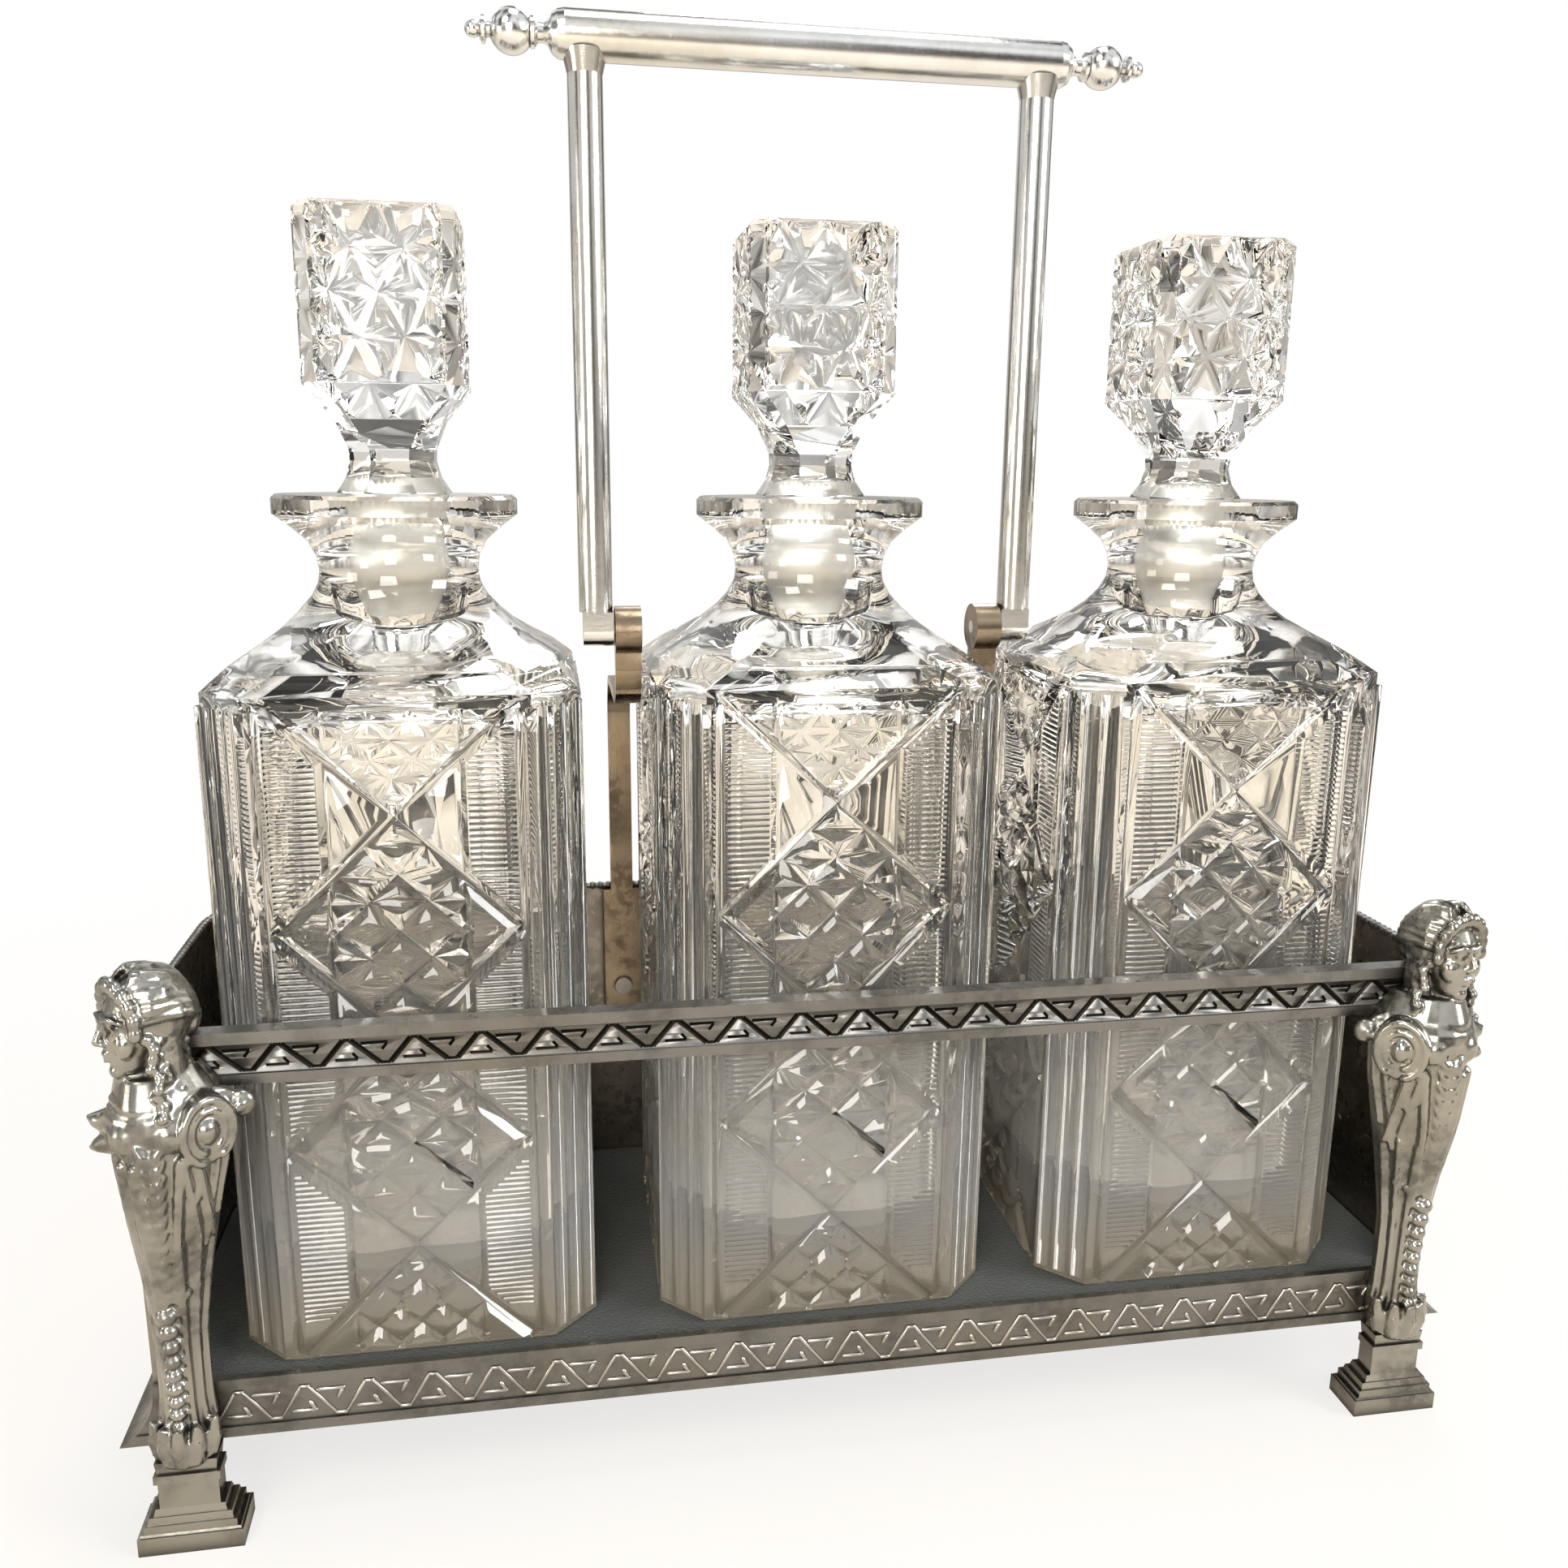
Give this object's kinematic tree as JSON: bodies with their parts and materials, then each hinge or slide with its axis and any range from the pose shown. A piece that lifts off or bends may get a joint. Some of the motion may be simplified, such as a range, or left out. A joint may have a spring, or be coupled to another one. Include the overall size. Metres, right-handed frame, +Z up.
{
  "type": "antique tantalus",
  "caption": "Open metal tray stand with a fold-down carrying bar that holds cut glass decanters with ground stoppers between figure legs.",
  "frame": {"origin": "centre of the base on the ground, under the middle of the tray", "axes": "+X to the right along the tray, +Y to the back, +Z up"},
  "size_m": [0.314, 0.118, 0.3217],
  "materials": {
    "aged_silver_plate": "silver plate on brass, tarnished in the recesses",
    "polished_silver_plate": "polished silver plate on brass",
    "cloth": "dark green baize",
    "cut_glass": "clear lead glass with mitre cuts"
  },
  "bodies": {
    "stand": {"tray_floor": "aged_silver_plate", "baize_lining": "cloth", "gallery_panel": "aged_silver_plate", "gallery_rim": "aged_silver_plate", "front_rail_upper": "aged_silver_plate", "front_apron": "aged_silver_plate", "skirt_moulding": "aged_silver_plate", "leg_front_left": "aged_silver_plate", "leg_front_right": "aged_silver_plate", "foot_rear_left": "aged_silver_plate", "foot_rear_right": "aged_silver_plate", "leg_screws": "aged_silver_plate", "bracket_left": "aged_silver_plate", "bracket_right": "aged_silver_plate", "bracket_screws": "aged_silver_plate", "bracket_nuts": "aged_silver_plate", "hinge_pin_left": "polished_silver_plate", "hinge_pin_right": "polished_silver_plate"},
    "handle": {"handle_post_left": "polished_silver_plate", "handle_post_right": "polished_silver_plate", "handle_bar": "polished_silver_plate", "finial_left": "polished_silver_plate", "finial_right": "polished_silver_plate"},
    "decanter_body_left": {"decanter_left": "cut_glass"},
    "stopper_body_left": {"stopper_left": "cut_glass"},
    "decanter_body_centre": {"decanter_centre": "cut_glass"},
    "stopper_body_centre": {"stopper_centre": "cut_glass"},
    "decanter_body_right": {"decanter_right": "cut_glass"},
    "stopper_body_right": {"stopper_right": "cut_glass"}
  },
  "joints": [
    {"name": "handle_fold", "type": "hinge", "parent": "stand", "child": "handle", "pos_m": [0, 0, 0.192], "axis": [-1, 0, 0], "range_deg": [-140, 138]},
    {"name": "decanter_lift_left", "type": "slide", "parent": "stand", "child": "decanter_body_left", "axis": [0, 0, 1], "range_m": [0, 0.08]},
    {"name": "decanter_lift_centre", "type": "slide", "parent": "stand", "child": "decanter_body_centre", "axis": [0, 0, 1], "range_m": [0, 0.028]},
    {"name": "decanter_lift_right", "type": "slide", "parent": "stand", "child": "decanter_body_right", "axis": [0, 0, 1], "range_m": [0, 0.08]},
    {"name": "stopper_pull_left", "type": "slide", "parent": "decanter_body_left", "child": "stopper_body_left", "axis": [0, 0, 1], "range_m": [0, 0.06]},
    {"name": "stopper_pull_centre", "type": "slide", "parent": "decanter_body_centre", "child": "stopper_body_centre", "axis": [0, 0, 1], "range_m": [0, 0.03]},
    {"name": "stopper_pull_right", "type": "slide", "parent": "decanter_body_right", "child": "stopper_body_right", "axis": [0, 0, 1], "range_m": [0, 0.06]}
  ]
}
